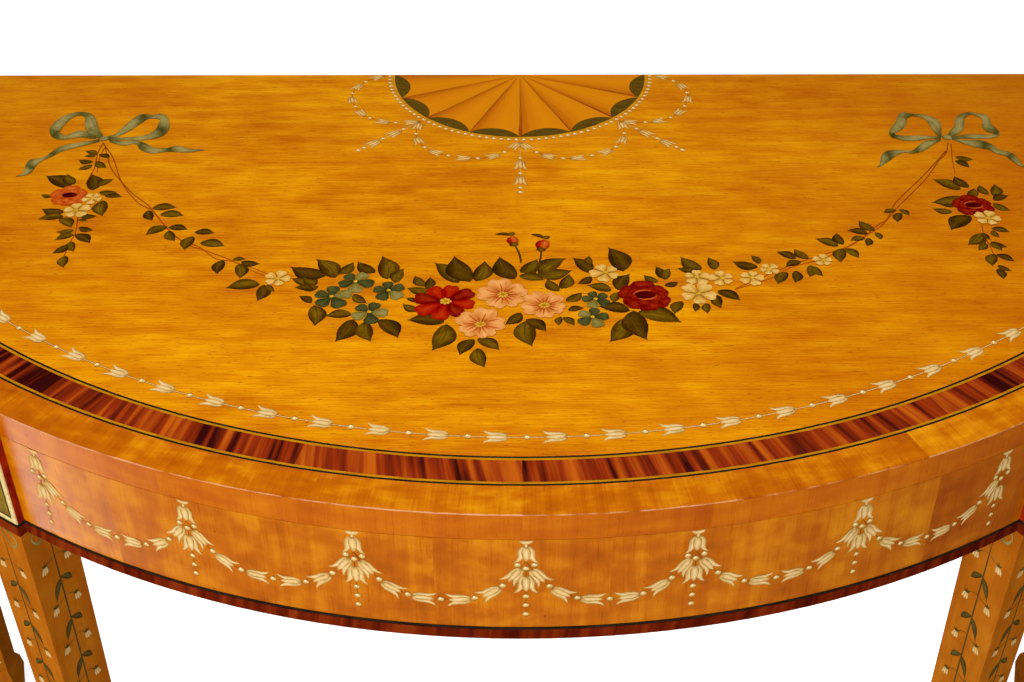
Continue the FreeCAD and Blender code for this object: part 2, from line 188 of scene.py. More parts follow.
def satinwood(
    name, direction, tones, leaf_count=1, leaf_contrast=0.0, figure=(34, 15), fine=0.3, shine=0.1,
    drift=0.0, lean=0.0, worn_and_highlit_rim=False,
):
    """Polished satinwood: silky lines along the grain, a shimmering figure, dark pores and a few dents.

    Its tone drifts to the dark one away from the table's middle, leans lighter to the right, and can be
    pale along the bow's rim, partly from wear and partly as a painted highlight on the rounded arris.
    """
    material, node = new_material(name)
    along, across, leaf = grain_places(node, direction, leaf_count)
    streaks = blots(node, (along, across, leaf), (150, 9, 60), 4.0)
    lines = blots(node, (along, across, leaf), (26, 1.1, 60))
    shimmer = blots(node, (along, across, leaf), (*figure, 60), 3.0)
    clouds = blots(node, (along, across, leaf), (150, 90, 60))
    x, y, z = surface_place(node)
    tone = total(
        node, (streaks, 0.3), (lines, fine), (shimmer, 0.42), (clouds, 0.4),
        (leaf, leaf_contrast / LEAF_SHIFT), (x, lean * MM),
    )
    middle_tone = 0.56 + (fine + leaf_contrast) / 2
    tone = node("MapRange", (tone, middle_tone - 0.2, middle_tone + 0.2, 0.0, 1.0))
    colour = node("ValToRGB", (tone,), stops=((0.05, tones[0]), (0.5, tones[1]), (0.95, tones[2])))
    # Tone darkens towards both ends of the table; on the bow's edge and frieze this is painted shade
    off_centre = node("Math", (x, MM, 0.1), operation="MULTIPLY_ADD")
    drifted = node("Math", (off_centre, off_centre), operation="MULTIPLY")
    drifted = node("Math", (drifted, drift), operation="MULTIPLY")
    colour = node("Mix", {0: drifted, 6: colour, 7: linear(tones[0])}, 2, data_type="RGBA")
    # Real pores are about a tenth as wide, and are drawn wider so that they show
    pores = blots(node, (along, across, leaf), (6, 0.9, 60), 1.0)
    pores = node("MapRange", (pores, 0.64, 0.78, 0.0, 2.4 * fine))
    colour = node("Mix", {0: pores, 6: colour, 7: linear("#7A3A00")}, 2, data_type="RGBA")
    flecks = blots(node, (along, across, leaf), (4, 1.6, 60))
    flecks = node("MapRange", (flecks, 0.66, 0.74, 0.0, 0.5))
    fleck_places = node("MapRange", (clouds, 0.42, 0.6, 1.0, 0.2))
    flecks = node("Math", (flecks, fleck_places), operation="MULTIPLY")
    colour = node("Mix", {0: flecks, 6: colour, 7: linear("#7A3A00")}, 2, data_type="RGBA")
    dents = blots(node, (x, y, z), (5, 2.4, 5), 1.0)
    dents = node("MapRange", (dents, 0.79, 0.82, 0.0, 0.6))
    colour = node("Mix", {0: dents, 6: colour, 7: linear("#5A2400")}, 2, data_type="RGBA")
    # Pale pinkish line along the bow's rim: partly wear, partly a painted highlight on the rounded arris
    if worn_and_highlit_rim:
        angle, radius, z = polar_place(node, BOW_CENTRE_Y)
        rim_wear_and_highlight = total(node, (radius, 1.0), (streaks, 1.2), (clouds, 1.6))
        rim_wear_and_highlight = node("MapRange", (rim_wear_and_highlight, BOW_RADIUS + 1.05, BOW_RADIUS + 1.5, 0.0, 0.75))
        rim = node("MapRange", (radius, BOW_RADIUS + 0.3, BOW_RADIUS + 0.8, 1.0, 0.0))
        rim_wear_and_highlight = node("Math", (rim_wear_and_highlight, rim), operation="MULTIPLY")
        colour = node("Mix", {0: rim_wear_and_highlight, 6: colour, 7: linear("#D09870")}, 2, data_type="RGBA")
    roughness = node("MapRange", (lines, 0.3, 0.7, 0.26, 0.38))
    return dress(material, node, colour, roughness, lines, shine)


def rosewood(name, direction, tones, leaf_count, shine):
    """Polished rosewood cut across: dark stripes in clusters, a little aslant, that tick the band."""
    material, node = new_material(name)
    along, across, leaf = grain_places(node, direction, leaf_count)
    slope = node("MapRange", (leaf, 0.0, LEAF_SHIFT, 0.05, -0.3))
    slant = node("Math", (along, slope), operation="MULTIPLY")
    across = node("Math", (across, slant), operation="ADD")
    stripes = blots(node, (along, across, leaf), (140, 6.2, 60), 3.0)
    clusters = blots(node, (along, across, leaf), (160, 34, 60), 1.0)
    tone = total(node, (stripes, 0.85), (clusters, 0.45), (leaf, 0.12 / LEAF_SHIFT))
    tone = node("MapRange", (tone, 0.55, 0.93, 0.0, 1.0))
    colour = node("ValToRGB", (tone,), stops=((0.08, tones[0]), (0.5, tones[1]), (0.92, tones[2])))
    roughness = node("MapRange", (stripes, 0.3, 0.7, 0.36, 0.26))
    return dress(material, node, colour, roughness, stripes, shine)


def plain_wood(name, dark, light, length, width, gloss):
    """A fine even wood, such as string, bead or tablet: only a soft change of tone along its grain."""
    material, node = new_material(name)
    tone = blots(node, surface_place(node), (length, width, width), 3.0)
    shade = node("MapRange", (tone, 0.3, 0.7, 0.0, 1.0))
    colour = node("ValToRGB", (shade,), stops=((0.0, dark), (1.0, light)))
    roughness = node("MapRange", (tone, 0.3, 0.7, gloss - 0.04, gloss + 0.06))
    return dress(material, node, colour, roughness, tone, 0.0)


def sand_shaded_fan(name):
    """The fan's satinwood, scorched in hot sand along one side of each blade, which looks rounded."""
    material, node = new_material(name)
    angle, radius, z = polar_place(node, BACK_Y)
    blade = node("Math", (angle, math.pi / 2), operation="ADD")
    blade = node("Math", (blade, math.pi / FAN_BLADES), operation="DIVIDE")
    across = node("Math", (blade,), operation="FRACT")
    arc = node("Math", (angle, FAN_RADIUS), operation="MULTIPLY")
    streaks = blots(node, (radius, arc, z), (60, 2.4, 60))
    tone = total(node, (across, 1.0), (streaks, 0.22))
    tone = node("Math", (tone, 0.11), operation="SUBTRACT")
    colour = node("ValToRGB", (tone,), stops=(
        (0.0, "#6E2602"), (0.035, "#A85402"), (0.25, "#BE6C02"), (0.6, "#C87802"), (0.975, "#C47402"),
        (1.0, "#8A3E02"),
    ))
    roughness = node("MapRange", (streaks, 0.3, 0.7, 0.26, 0.36))
    return dress(material, node, colour, roughness, streaks, 0.1)


def paint(name, dark, middle, light, tip=0.6, core=0.3, side=0.0, swell=0.0, patchy=0.3):
    """Artist's oil paint under varnish: brush streaks, and a stroke that lightens by the shares given.

    The shares are for its tip, its inside, one side, the middle of its length, and patches of petal size.
    """
    material, node = new_material(name)
    u, v, w = node("SeparateXYZ", (node("UVMap"),), None)
    x, y, z = surface_place(node)
    brush = blots(node, (x, y, z), (2.6, 2.6, 2.6), 3.0)
    patches = blots(node, (x, y, z), (10, 10, 10), 1.0)
    # Marks of the brush's hairs are finer than this, and are drawn coarser so that they show
    hairs = blots(node, (u, v, total(node, (x, 0.05), (y, 0.05))), (0.6, 0.12, 1.0), 1.0)
    off_middle = node("Math", (v, 2.0, -1.0), operation="MULTIPLY_ADD")
    off_middle = node("Math", (off_middle,), operation="ABSOLUTE")
    across = node("Math", (1.0, off_middle), operation="SUBTRACT")
    rising = node("Math", (u, 4.0), operation="MULTIPLY")
    falling = node("Math", (1.0, u), operation="SUBTRACT")
    along = node("Math", (rising, falling), operation="MULTIPLY")
    inside = node("Math", (across, along), operation="MINIMUM")
    stroke = total(node, (u, tip), (inside, core), (v, side), (along, swell))
    tone = total(node, (stroke, 1.0), (patches, patchy), (brush, 0.45), (hairs, 0.55))
    low, high = 0.35 + 0.35 * patchy, 0.65 + 0.65 * patchy + tip + core + side + swell
    tone = node("MapRange", (tone, low, high, 0.0, 1.0))
    colour = node("ValToRGB", (tone,), stops=((0.05, dark), (0.45, middle), (0.92, light)))
    roughness = node("MapRange", (brush, 0.3, 0.7, 0.37, 0.52))
    return dress(material, node, colour, roughness, brush, 0.0)


# Woods of the part, each with what it gives the eye
# Field: long silky lines from left to right under a soft shimmer, deeper in tone to both ends
FIELD = satinwood(
    "polished_satinwood_field", "left_right", ("#AC5600", "#C47600", "#DA9402"), fine=0.42, drift=2.2,
)
# Border: short leaves whose lines run out from the bow's middle, redder than the field and pale at the rim,
# from wear and a painted highlight on the arris
BORDER = satinwood(
    "polished_satinwood_border", "radial", ("#964200", "#B05C00", "#D08606"), 16, 0.04, (8, 20), 0.12,
    lean=0.16, worn_and_highlit_rim=True,
)
# Edge and frieze: upright grain in leaves that differ a little, so that their joints show; both darken
# towards the ends of the bow, which is painted shade
EDGE = satinwood(
    "polished_satinwood_edge", "bow", ("#9A4200", "#AE5600", "#BE6A02"), 18, 0.14, (9, 30), 0.1,
    drift=0.6,
)
FRIEZE = satinwood(
    "polished_satinwood_frieze", "bow", ("#8E3E00", "#AE5A00", "#CC7E06"), 19, 0.1, (14, 22), 0.1,
    drift=1.6,
)
# Legs: browner, with quiet upright lines and no gloss
LEG = satinwood(
    "polished_satinwood_leg", "upright", ("#8E4A0A", "#A25810", "#B46C18"), fine=0.15, shine=0.0,
)
# Rosewood: deep red brown with dark stripes across the band; the moulding is darker and plainer
CROSSBAND = rosewood("polished_rosewood_crossband", "radial", ("#2E0200", "#822604", "#AC500A"), 14, 0.12)
MOULDING = rosewood("polished_rosewood_moulding", "bow", ("#440E02", "#601A04", "#782A0A"), 19, 0.0)
# Strings and lines: thin even colours that part the bands, yellow, near black and cream
RING = plain_wood("boxwood_fan_ring", "#A86A08", "#C88A14", 30, 4, 0.32)
BOXWOOD = plain_wood("boxwood_string", "#9A6204", "#B87C08", 25, 3, 0.34)
EBONY = plain_wood("ebonised_string", "#16100A", "#2E2216", 20, 2, 0.3)
HOLLY = plain_wood("cream_holly_string", "#C4A868", "#DCC48C", 18, 3, 0.36)
# Stained woods: olive tablets, the fan's darker olive scallops and the deep red sides of the leg blocks
HAREWOOD = plain_wood("green_harewood", "#6A521A", "#8A6C28", 9, 3, 0.34)
SCALLOP = plain_wood("shaded_harewood_scallop", "#44300A", "#62480E", 9, 3, 0.34)
RED = plain_wood("red_stained_veneer", "#6A1006", "#A0280C", 3, 14, 0.3)
# Pine: dull pale brown for the frame and the boards under the veneers
PINE = plain_wood("aged_pine", "#8E6434", "#BE9258", 90, 5, 0.7)
# Fan: blades that look rounded, each from scorched brown to clear yellow
BLADES = sand_shaded_fan("sand_shaded_satinwood_fan")

named_woods = {
    "top_field_veneer": FIELD, "border_crossband": BORDER, "top_edge_banding": EDGE, "fan_ring": RING,
    "fan_blades": BLADES, "fan_scallops": SCALLOP, "rosewood_crossband": CROSSBAND,
}
wood_endings = {
    "_frieze_veneer": FRIEZE, "_leg": LEG, "_moulding": MOULDING, "_mouldings": MOULDING,
    "_boxwood_string": BOXWOOD, "_black_string": EBONY, "_black_line": EBONY, "_beads": EBONY,
    "_tablet": HAREWOOD, "_cream_string": HOLLY, "_returns": RED,
}
for name, item in frame["nodes"].items():
    ending = next((end for end in wood_endings if name.endswith(end)), None)
    wood = named_woods.get(name) or wood_endings.get(ending, PINE)
    item.data.materials.clear()
    item.data.materials.append(wood)


# Surfaces that carry paint: each turns flat places in millimetres into a point and the way it faces

def on_top(coat=0):
    """The table top: x along the back edge from its middle, and the distance in front of that edge."""
    def put(x, front):
        if front < BACK_MARGIN:
            front = BACK_MARGIN * math.exp(front / BACK_MARGIN - 1)
        return Vector((x, BACK_Y - front, TOP_Z + PAINT_LIFT + coat * COAT_LIFT)) * MM, Vector((0, 0, 1))
    return put


def seen_at(u, v):
    """The place on the top that the photograph shows at a pixel, in the numbers that on_top takes."""
    ray = camera_turn @ Vector((u - IMAGE_WIDTH / 2, IMAGE_HEIGHT / 2 - v, -FOCAL_PIXELS))
    point = CAMERA_PLACE + ray * ((TOP_Z - CAMERA_PLACE.z) / ray.z)
    return Vector((point.x, BACK_Y - point.y))


def on_seen_top(coat=0):
    """The top again, for shapes that are drawn in the photograph's pixels."""
    def put(u, v):
        return on_top(coat)(*seen_at(u, v))
    return put


def on_frieze(middle, coat=0):
    """The frieze: the way round the bow from an angle in degrees, and the drop from the top's joint."""
    def put(arc, drop):
        turn = math.radians(middle) + arc / BOW_RADIUS
        out = Vector((math.sin(turn), -math.cos(turn), 0))
        reach = out * (BOW_RADIUS + PAINT_LIFT + coat * COAT_LIFT)
        return (Vector((0, BOW_CENTRE_Y, FRIEZE_TOP - drop)) + reach) * MM, out
    return put


def on_leg(axis, facing, coat=0):
    """A face of a tapered leg: the distance across from its middle line, and the drop from the apron."""
    turn = math.radians(facing)
    out = Vector((math.sin(turn), -math.cos(turn), 0))
    side = Vector((math.cos(turn), math.sin(turn), 0))

    def put(across, drop):
        z = APRON_LOW - drop
        share = (z - ANKLE_Z) / (APRON_LOW - ANKLE_Z)
        half = (ANKLE_SIZE + (LEG_SIZE - ANKLE_SIZE) * share) / 2
        reach = out * (half + PAINT_LIFT + coat * COAT_LIFT)
        return (Vector((*axis, z)) + reach + side * across) * MM, out
    return put


class Coat:
    """One colour of the painted decoration: thin strokes gathered in one mesh."""

    def __init__(self, name, slot, material):
        self.name = name
        self.slot = slot
        self.material = material
        self.mesh = bmesh.new()
        self.mesh.loops.layers.uv.new("UVMap")

    def stroke(self, surface, shape, along=6, across=2):
        """Bend a flat grid to a shape of u from 0 to 1 and v from -1 to 1, and lay it on a surface."""
        made = bmesh.ops.create_grid(
            self.mesh, x_segments=along, y_segments=across, size=0.5, calc_uvs=True
        )["verts"]
        for vert in made:
            vert.co, facing = surface(*shape(vert.co.x + 0.5, 2 * vert.co.y))
        for face in {face for vert in made for face in vert.link_faces}:
            face.normal_update()
            if face.normal.dot(facing) < 0:
                face.normal_flip()

    def finish(self):
        """Make the strokes one piece of the table."""
        data = bpy.data.meshes.new(self.name)
        self.mesh.to_mesh(data)
        self.mesh.free()
        data.materials.append(self.material)
        item = bpy.data.objects.new(self.name, data)
        bpy.context.scene.collection.objects.link(item)
        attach(item, "root")


# Shapes of strokes

def turned(angle):
    """A flat direction at an angle in degrees."""
    return Vector((math.cos(math.radians(angle)), math.sin(math.radians(angle))))


def petal(root, tip, width, bend=0.0, widest=0.45, blunt=0.9, taper=0.0):
    """A leaf or petal from root to tip, bent to one side and widest at a share of its length.

    A small blunt rounds both ends, and a taper draws the tip out to a hollow point.
    """
    root, tip = Vector(root), Vector(tip)
    run = tip - root
    side = Vector((-run.y, run.x))
    power = math.log(0.5) / math.log(widest)

    def shape(u, v):
        sharp = blunt * (1 + taper * u * u)
        swell = math.sin(math.pi * min(u, 0.9999) ** power) ** sharp if u > 0 else 0.0
        half = width / 2 * swell
        return root + run * u + side * (bend * math.sin(math.pi * u)) + side.normalized() * (half * v)
    return shape


def disc(centre, radius, squash=1.0):
    """A round spot, made taller or flatter by squash."""
    centre = Vector(centre)

    def shape(u, v):
        turn = math.pi * u
        return centre + Vector((-math.cos(turn) * radius, math.sin(turn) * v * radius * squash))
    return shape


def curve_through(points):
    """A smooth curve through points, as a function of a share from 0 to 1."""
    places = [Vector(p) for p in points]
    places = [places[0] * 2 - places[1], *places, places[-1] * 2 - places[-2]]

    def at(share):
        whole = min(max(share, 0.0), 0.9999) * (len(places) - 3)
        i = int(whole)
        f = whole - i
        a, b, c, d = places[i:i + 4]
        square = a * 2 - b * 5 + c * 4 - d
        cube = b * 3 - a - c * 3 + d
        return (b * 2 + (c - a) * f + square * f**2 + cube * f**3) / 2
    return at


def band(at, width):
    """A stroke along a curve, of one width, or for None of the width in the curve's third number."""
    def shape(u, v):
        ahead = at(u + 0.01) - at(u - 0.01)
        side = Vector((-ahead.y, ahead.x)).normalized()
        here = at(u)
        return here.xy + side * (v * (width or here.z) / 2)
    return shape


def coat_of(name, slot, paint_name, *tones, **shares):
    """A coat of paint in three tones from dark to light."""
    made = Coat(name, slot, paint(paint_name, *tones, **shares))
    coats.append(made)
    return made


# Paints of the decoration under an aged varnish, each with what it gives the eye
coats = []
# Fan husks: tan petals, lit along their middles
FAN_HUSK = coat_of(
    "painted_fan_husks", "holly", "tan_oil_paint", "#5E3404", "#B88840", "#DEBA78", tip=0.2, core=0.8,
)
# Lines: thin browns and greens that tie husks, ribbons and leaves together
THREAD = coat_of("painted_threads", "red_veneer", "brown_oil_line", "#5E2A04", "#8A4A0C", "#A8641A")
CORD = coat_of("painted_cords", "red_veneer", "red_brown_oil_line", "#6A2402", "#8E3A04", "#A8560C")
STEM = coat_of("painted_stems", "harewood", "green_oil_line", "#2C2002", "#4A3804", "#644E0A")
# Leaves: brown olive, dark at the rims and lit on one side; the legs have a greyer kind
LEAF = coat_of(
    "painted_leaves", "harewood", "green_oil_paint", "#281400", "#4C3002", "#7A5A08",
    tip=-0.15, core=0.6, side=0.3, patchy=0.5,
)
DARK_LEAF = coat_of(
    "painted_dark_leaves", "harewood", "dark_green_oil_paint", "#1E0E00", "#3C2402", "#603E06",
    tip=-0.15, core=0.5, side=0.25, patchy=0.5,
)
LEG_LEAF = coat_of(
    "painted_leg_leaves", "harewood", "grey_green_leaf_oil_paint", "#2C2208", "#4A3C16", "#62522A",
    tip=-0.1, core=0.5, side=0.2, patchy=0.5,
)
# Ribbons: grey green that lightens in the middle of a turn, as silk does
RIBBON = coat_of(
    "painted_ribbons", "harewood", "grey_green_oil_paint", "#2E2E08", "#5E5424", "#9C8A4E",
    tip=0.05, core=0.3, swell=0.6, patchy=0.8,
)
# Red and pink petals: deep at the root and paler at the rim, round hearts that are nearly black
RED_PETAL = coat_of(
    "painted_red_petals", "red_veneer", "red_oil_paint", "#4A0000", "#8C0800", "#B03408",
    tip=0.4, core=0.6,
)
CRIMSON_PETAL = coat_of(
    "painted_crimson_petals", "red_veneer", "crimson_oil_paint", "#2C0000", "#660300", "#982608",
    tip=0.4, core=0.6,
)
MAROON = coat_of("painted_rose_hearts", "red_veneer", "maroon_oil_paint", "#200000", "#3C0000", "#5C0802")
ROSE_PETAL = coat_of(
    "painted_rose_petals", "red_veneer", "orange_red_oil_paint", "#5E1200", "#A43806", "#C86A22",
    tip=0.4, core=0.6,
)
PINK_PETAL = coat_of(
    "painted_pink_petals", "holly", "pink_oil_paint", "#803804", "#BE7230", "#E2A460",
    tip=0.6, core=0.45,
)
# Blue petals: dull blue greens, patchy and a little lighter at the rim
BLUE_PETAL = coat_of(
    "painted_blue_petals", "harewood", "blue_green_oil_paint", "#443E14", "#6E6024", "#94844C",
    tip=0.3, core=0.4, patchy=0.6,
)
TEAL_PETAL = coat_of(
    "painted_teal_petals", "harewood", "dark_teal_oil_paint", "#18200A", "#343616", "#565224",
    tip=0.3, core=0.4, patchy=0.6,
)
# Cream petals and yellow centres: the small lights of the garland
CREAM_PETAL = coat_of(
    "painted_cream_petals", "holly", "cream_petal_oil_paint", "#80500A", "#BC8C36", "#DEB66C",
    tip=0.5, core=0.45,
)
EYE = coat_of("painted_flower_centres", "boxwood", "yellow_oil_paint", "#7E4C04", "#BA8412", "#DCB044")
# Husks, pearls and highlights: cream that is lit in the middle, so that each looks round
HUSK = coat_of(
    "painted_husks", "holly", "cream_oil_paint", "#74460A", "#C09A58", "#DCC292", tip=0.2, core=0.8,
)
BEAD = coat_of(
    "painted_beads", "holly", "pearl_oil_paint", "#6A4008", "#B08844", "#D6B67A", tip=-0.15, core=1.0,
)
LIGHT = coat_of("painted_highlights", "holly", "white_oil_paint", "#D4BA84", "#E4CE9E", "#F0E0B8")

# Half of a husk's outline in shares of its length and width, then the stroke's share of the width
husk_shares = [(0.0, 0.05, 0.14), (0.2, 0.16, 0.34), (0.5, 0.2, 0.34), (0.78, 0.27, 0.2), (1.0, 0.48, 0.03)]


def husk(surface_of, root, angle, length, width, coat=HUSK):
    """A bell husk: two outer petals that flare at the mouth and a middle one laid over them."""
    root, way = Vector(root), turned(angle)
    side = Vector((-way.y, way.x))
    for hand in (-1, 1):
        points = []
        for along, across, thick in husk_shares:
            point = root + way * (along * length) + side * (hand * across * width)
            points.append((*point, thick * width))
        coat.stroke(surface_of(1.5 + hand * 0.2), band(curve_through(points), None), 6)
    coat.stroke(surface_of(2), petal(root, root + way * (length * 0.92), width * 0.4, 0, 0.4, 0.7), 5)


def bead(surface_of, centre, radius, coat=BEAD):
    """A pearl, a little taller than wide, with a light spot at its upper left."""
    coat.stroke(surface_of(2.5), disc(centre, radius, 1.2), 6, 4)
    spot = Vector(centre) - Vector((0.2, 0.35)) * radius
    LIGHT.stroke(surface_of(3.2), disc(spot, radius * 0.36, 1.1), 4)


# Each petal of a flower lies over the one before it by this many coats
FLOWER_STEP = 0.25


def rim_petal(centre, turn, reach, half_turn, notch):
    """A petal that widens from a flower's middle to a round rim with a notch in it."""
    def shape(u, v):
        rim = 1 - 0.3 * abs(v) ** 3 - notch * max(0.0, 1 - 3 * abs(v))
        return centre + turned(turn + half_turn * v) * (reach * rim * (0.1 + 0.9 * u))
    return shape


def flower(petal_coats, surface_of, centre, radius, petals, turn=0.0, level=3.0, fullness=1.0, notch=0.1):
    """A ring of petals round a centre, in coats by turns, some a little longer than others."""
    centre = Vector(centre)
    for i in range(petals):
        reach = radius * (0.93 + 0.1 * math.sin(5 * i + turn))
        shape = rim_petal(centre, turn + 360 * i / petals, reach, 180 / petals * fullness, notch)
        petal_coats[i % len(petal_coats)].stroke(surface_of(level + i * FLOWER_STEP), shape, 6, 8)


def rose(coat, surface_of, centre, radius, level):
    """A full rose: rings of broad petals laid over each other, round a dark heart with a thin lit rim."""
    for ring, (share, petals) in enumerate(((1.0, 6), (0.8, 5), (0.6, 4))):
        turn = 25 + 40 * ring
        flower([coat], surface_of, centre, radius * share, petals, turn, level + 2 * ring, 1.25, 0.04)
    heart = Vector(centre) - Vector((0, radius * 0.12))
    MAROON.stroke(surface_of(level + 6.4), disc(heart, radius * 0.36, 0.66), 8, 4)
    for start, end in ((-0.1, 0.75), (0.95, 1.7)):
        turns = [math.pi * (start + (end - start) * i / 6) for i in range(7)]
        rim = [heart + Vector((math.cos(t) * 0.4, math.sin(t) * 0.27)) * radius for t in turns]
        widths = [radius * 0.1 * math.sin(math.pi * (i + 0.3) / 6.6) for i in range(7)]
        line = curve_through([(*place, width) for place, width in zip(rim, widths)])
        ROSE_PETAL.stroke(surface_of(level + 6.8), band(line, None), 12)


# Husk and bead chain inside the bands of the top
CHAIN_INSET = 68.0
CHAIN_PITCH = 37.0
CHAIN_START_SHARE = 0.41
CHAIN_HUSK_ROOT = 6.3
CHAIN_HUSK_LENGTH = 15.5
CHAIN_HUSK_WIDTH = 12.5
CHAIN_BEAD_RADIUS = 2.1
chain_radius = BOW_RADIUS - CHAIN_INSET
chain_end = math.acos((BOW_CENTRE_Y - BACK_Y) / chain_radius)


def chain_point(turn):
    """The place of the chain at an angle from straight ahead."""
    return Vector((math.sin(turn) * chain_radius, math.cos(turn) * chain_radius - (BOW_CENTRE_Y - BACK_Y)))


def bow_chain():
    """Husks with their mouths to the left on a thin line round the bow, a bead between each two."""
    line = curve_through([chain_point(chain_end * (i / 24 - 1)) for i in range(49)])
    THREAD.stroke(on_top(0), band(line, 1.3), 160, 1)
    HUSK.stroke(on_top(0.5), band(line, 0.7), 160)
    count = int(chain_end * chain_radius / CHAIN_PITCH)
    for i in range(-count, count + 1):
        turn = (i - CHAIN_START_SHARE) * CHAIN_PITCH / chain_radius
        root = chain_point(turn + CHAIN_HUSK_ROOT / chain_radius)
        ahead = chain_point(turn - 0.01) - chain_point(turn)
        angle = math.degrees(math.atan2(ahead.y, ahead.x))
        husk(on_top, root, angle, CHAIN_HUSK_LENGTH, CHAIN_HUSK_WIDTH)
        bead(on_top, chain_point(turn + 0.5 * CHAIN_PITCH / chain_radius), CHAIN_BEAD_RADIUS)


def even_shares(at, marks, margin):
    """Shares of a curve at even distances along it, the first and last at a margin from its ends."""
    steps = [at(i / 200) for i in range(201)]
    reached = [0.0]
    for here, there in zip(steps, steps[1:]):
        reached.append(reached[-1] + (there - here).length)
    pitch = (reached[-1] - 2 * margin) / (marks - 1)
    return [sum(distance < margin + pitch * i for distance in reached) / 200 for i in range(marks)]


def hung(surface_of, at, marks, margin, length, width, bead_radius, husk_coat=HUSK, bead_coat=BEAD):
    """Husks and beads along a hung curve: husk mouths point to the curve's lowest place."""
    for i, share in enumerate(even_shares(at, marks, margin)):
        if i % 2:
            bead(surface_of, at(share), bead_radius, bead_coat)
            continue
        way = (at(share + 0.01) - at(share - 0.01)).normalized() * (1 if share < 0.5 else -1)
        root = at(share) - way * (length / 2)
        husk(surface_of, root, math.degrees(math.atan2(way.y, way.x)), length, width, husk_coat)


# Ornament round the fan, with its reach in shares of the fan's radius
FAN_PEARLS = 58
FAN_PEARL_RADIUS = 2.0
FAN_PEARL_SHARE = 1.04
FESTOON_TOP_SHARE = 1.07
FESTOON_SAG_SHARE = 0.31
FESTOON_BEAD_RADIUS = 1.9
SIDE_DROP_SHARE = 0.95
fan_drop_husk_shares = (1.345, 1.56)
# Beads of a fan drop: the share of the radius, then the bead's own radius in millimetres
fan_drop_beads = ((1.31, 1.9), (1.525, 1.9), (1.72, 1.9), (1.78, 2.3))


def fan_ornament():
    """A row of pearls round the fan, husk festoons hung from five of its points, and three drops."""
    for i in range(FAN_PEARLS):
        turn = math.radians(180 * (i + 0.5) / FAN_PEARLS)
        place = Vector((-math.cos(turn), math.sin(turn))) * (FAN_RADIUS * FAN_PEARL_SHARE)
        bead(on_top, place, FAN_PEARL_RADIUS, FAN_HUSK)
    for k in range(4):
        points = []
        for i in range(13):
            share = i / 12
            turn = math.radians(45 * (k + share))
            sag = FESTOON_SAG_SHARE * (1 - abs(2 * share - 1) ** 2.6)
            reach = FAN_RADIUS * (FESTOON_TOP_SHARE + sag)
            points.append(Vector((-math.cos(turn), math.sin(turn))) * reach)
        at = curve_through(points)
        THREAD.stroke(on_top(0), band(at, 0.6), 24, 1)
        hung(on_top, at, 11, 9.0, 13.0, 10.5, FESTOON_BEAD_RADIUS, FAN_HUSK, FAN_HUSK)
    for k in (1, 2, 3):
        turn = math.pi * k / 4
        way = Vector((-math.cos(turn), math.sin(turn))) * FAN_RADIUS
        way *= 1.0 if k == 2 else SIDE_DROP_SHARE
        FAN_HUSK.stroke(on_top(0), petal(way * 1.1, way * 1.76, 1.0, 0, 0.3, 0.2), 6)
        angle = math.degrees(math.atan2(way.y, way.x))
        for share, radius in fan_drop_beads:
            bead(on_top, way * share, radius, FAN_HUSK)
        for share in fan_drop_husk_shares:
            husk(on_top, way * share, angle, 14.0, 11.5, FAN_HUSK)


# Husk swags of the frieze, with the angles of their drops on its left, front and right
SWAG_DROPS = (
    (-75.5, -65.9, -56.3, -46.7, -37.6),
    (-28.9, -18.8, -9.1, 0.2, 9.4, 19.1, 28.6),
    (37.6, 46.7, 56.3, 65.9, 75.5),
)
SWAG_SAG = 35.0
SWAG_MARGIN = 15.0
DROP_TOP = 18.0


def frieze_drop(middle):
    """A drop where two swags meet: a cup, a husk, three beads abreast, a husk, and three beads down."""
    def surface_of(coat):
        return on_frieze(middle, coat)
    HUSK.stroke(surface_of(1), petal((-4.6, 0.6), (4.6, 0.6), 3.4, 0.16, 0.5, 0.5), 6)
    HUSK.stroke(surface_of(1.2), petal((0, 2.2), (0, 7.0), 2.0, 0, 0.4, 0.3), 4)
    husk(surface_of, (0, 5.4), 90, 13.8, 15.0)
    for arc in (-5.1, 0, 5.1):
        bead(surface_of, (arc, 24.0 - abs(arc) * 0.6), 2.1)
    husk(surface_of, (0, 30.6), 90, 15.0, 15.0)
    THREAD.stroke(surface_of(0), petal((0, 20), (0, 64), 0.7, 0, 0.1, 0.1), 6, 1)
    for drop in (48.4, 56.4, 64.4):
        bead(surface_of, (0, drop), 2.0)


def frieze_swag(start, end):
    """One swag between two drops at two angles."""
    def surface_of(coat):
        return on_frieze(start, coat)
    width = math.radians(end - start) * BOW_RADIUS
    points = [(width * i / 16, DROP_TOP + SWAG_SAG * (1 - abs(i / 8 - 1) ** 2.9)) for i in range(17)]
    at = curve_through(points)
    THREAD.stroke(surface_of(0), band(at, 0.6), 32, 1)
    hung(surface_of, at, 11, SWAG_MARGIN, 15.5, 12.0, 2.1)


def frieze_swags(drops):
    """The drops of one side of the frieze and the swags between them."""
    for angle in drops:
        frieze_drop(angle)
    for start, end in zip(drops, drops[1:]):
        frieze_swag(start, end)
